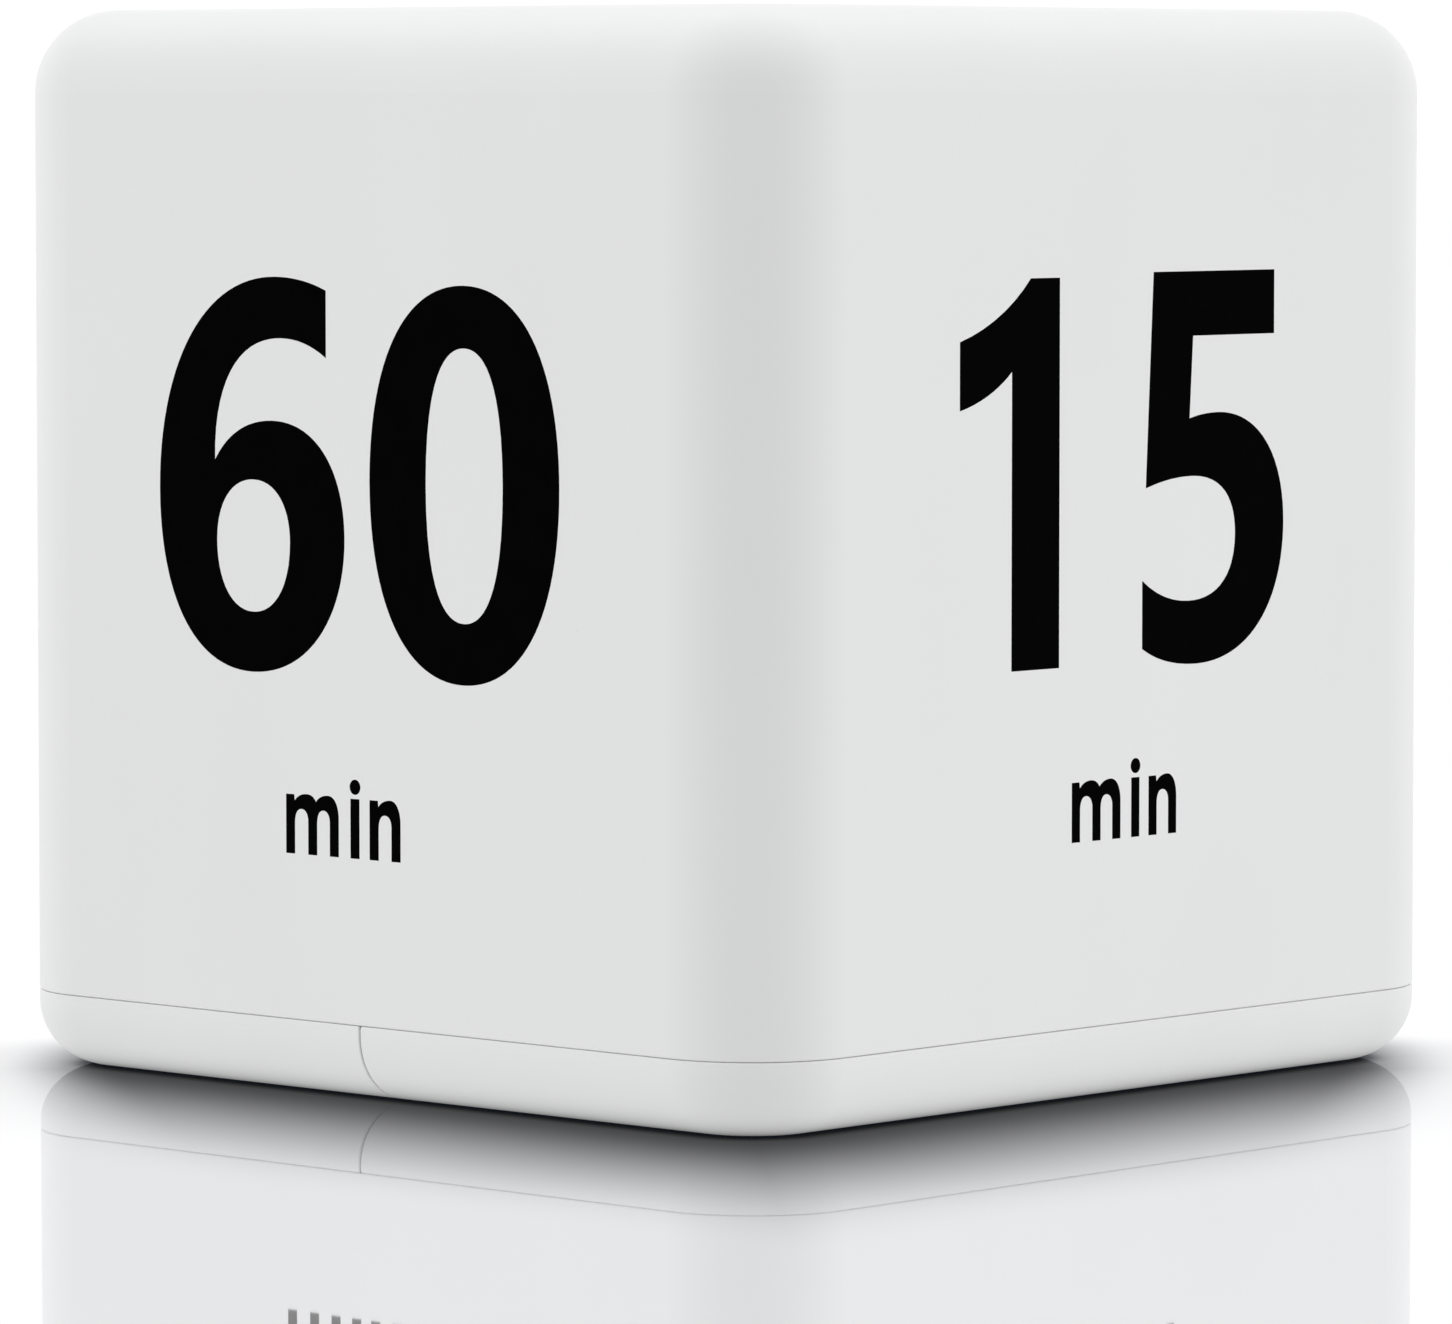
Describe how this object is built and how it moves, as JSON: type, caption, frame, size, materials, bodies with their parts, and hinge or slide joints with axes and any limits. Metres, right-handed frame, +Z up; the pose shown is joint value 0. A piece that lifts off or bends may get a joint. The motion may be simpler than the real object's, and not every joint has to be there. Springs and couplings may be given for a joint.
{
  "type": "kitchen timer",
  "caption": "Cube kitchen timer: a preset time on each upright face, display and power switch on top, sliding battery door underneath.",
  "frame": {"origin": "centre of the underside, on the surface that the timer stands on", "axes": "+Z up out of the display face; the face marked 60 looks along -Y and the face marked 15 along +X; the battery door slides off along -X"},
  "size_m": [0.0636, 0.0636, 0.064],
  "materials": {
    "case_white": "satin",
    "ink_black": "satin",
    "ink_grey": "satin",
    "clear_lens": "gloss",
    "adhesive_black": "matte",
    "display_glass": "gloss",
    "reflector_silver": "matte",
    "segment_dark": "gloss",
    "strip_rubber": "matte",
    "frame_white": "matte",
    "knob_white": "satin",
    "switch_black": "matte",
    "plated_steel": "satin",
    "tinned_brass": "satin",
    "lamp_body": "gloss",
    "lamp_clear": "gloss",
    "board_green": "satin",
    "resin_black": "satin",
    "chip_black": "satin",
    "chip_tan": "satin",
    "capacitor_can": "satin",
    "solder": "satin",
    "screw_steel": "satin",
    "bead_amber": "gloss",
    "ball_gold": "polished",
    "buzzer_black": "matte",
    "buzzer_brass": "satin",
    "buzzer_ceramic": "satin",
    "cell_steel": "satin",
    "cell_sleeve": "gloss",
    "cell_filling": "matte",
    "contact_nickel": "satin",
    "wire_red": "satin",
    "wire_black": "satin",
    "wire_yellow": "satin"
  },
  "bodies": {
    "case": {"housing": "case_white", "base_cover": "case_white", "marking_60_min": "ink_black", "marking_15_min": "ink_black", "marking_5_min": "ink_black", "marking_30_min": "ink_black", "switch_marks": "ink_grey", "display_window": "clear_lens", "window_tape": "adhesive_black", "display_front_glass": "display_glass", "display_rear_glass": "display_glass", "display_reflector": "reflector_silver", "display_segments": "segment_dark", "zebra_strips": "strip_rubber", "display_frame": "frame_white", "switch_base": "switch_black", "switch_shell": "plated_steel", "switch_terminals": "tinned_brass", "lamp_chip": "lamp_body", "lamp_lens": "lamp_clear", "circuit_board": "board_green", "chip_blob": "resin_black", "crystal": "plated_steel", "resistors": "chip_black", "chip_capacitors": "chip_tan", "transistor": "chip_black", "smoothing_capacitor": "capacitor_can", "solder_joints": "solder", "board_screws": "screw_steel", "base_screws": "screw_steel", "tilt_plugs": "bead_amber", "tilt_pins": "tinned_brass", "buzzer_ring": "buzzer_black", "buzzer_disc": "buzzer_brass", "buzzer_ceramic": "buzzer_ceramic", "battery_can_left": "cell_steel", "battery_can_right": "cell_steel", "battery_sleeve_left": "cell_sleeve", "battery_sleeve_right": "cell_sleeve", "battery_cores": "cell_filling", "battery_caps": "cell_steel", "battery_springs": "contact_nickel", "bridge_contact": "contact_nickel", "positive_contact": "contact_nickel", "negative_contact": "contact_nickel", "wire_battery_positive": "wire_red", "wire_battery_negative": "wire_black", "wire_buzzer_disc": "wire_yellow", "wire_buzzer_ceramic": "wire_red", "tilt_can_back_right": "plated_steel", "tilt_can_back_left": "plated_steel", "tilt_can_front_left": "plated_steel", "tilt_can_front_right": "plated_steel"},
    "battery_door": {"battery_door": "case_white"},
    "power_switch": {"power_knob": "knob_white", "switch_lever": "switch_black"},
    "ball_back_right": {"tilt_ball_back_right": "ball_gold"},
    "ball_back_left": {"tilt_ball_back_left": "ball_gold"},
    "ball_front_left": {"tilt_ball_front_left": "ball_gold"},
    "ball_front_right": {"tilt_ball_front_right": "ball_gold"}
  },
  "joints": [
    {"name": "door_slide", "type": "slide", "parent": "case", "child": "battery_door", "axis": [-1, 0, 0], "range_m": [0, 0.034]},
    {"name": "power_slide", "type": "slide", "parent": "case", "child": "power_switch", "axis": [1, 0, 0], "range_m": [0, 0.0025]},
    {"name": "roll_back_right", "type": "slide", "parent": "case", "child": "ball_back_right", "axis": [0.683, 0.683, 0.2588], "range_m": [0, 0.0023]},
    {"name": "roll_back_left", "type": "slide", "parent": "case", "child": "ball_back_left", "axis": [-0.683, 0.683, 0.2588], "range_m": [0, 0.0023]},
    {"name": "roll_front_left", "type": "slide", "parent": "case", "child": "ball_front_left", "axis": [-0.683, -0.683, 0.2588], "range_m": [0, 0.0023]},
    {"name": "roll_front_right", "type": "slide", "parent": "case", "child": "ball_front_right", "axis": [0.683, -0.683, 0.2588], "range_m": [0, 0.0023]}
  ]
}
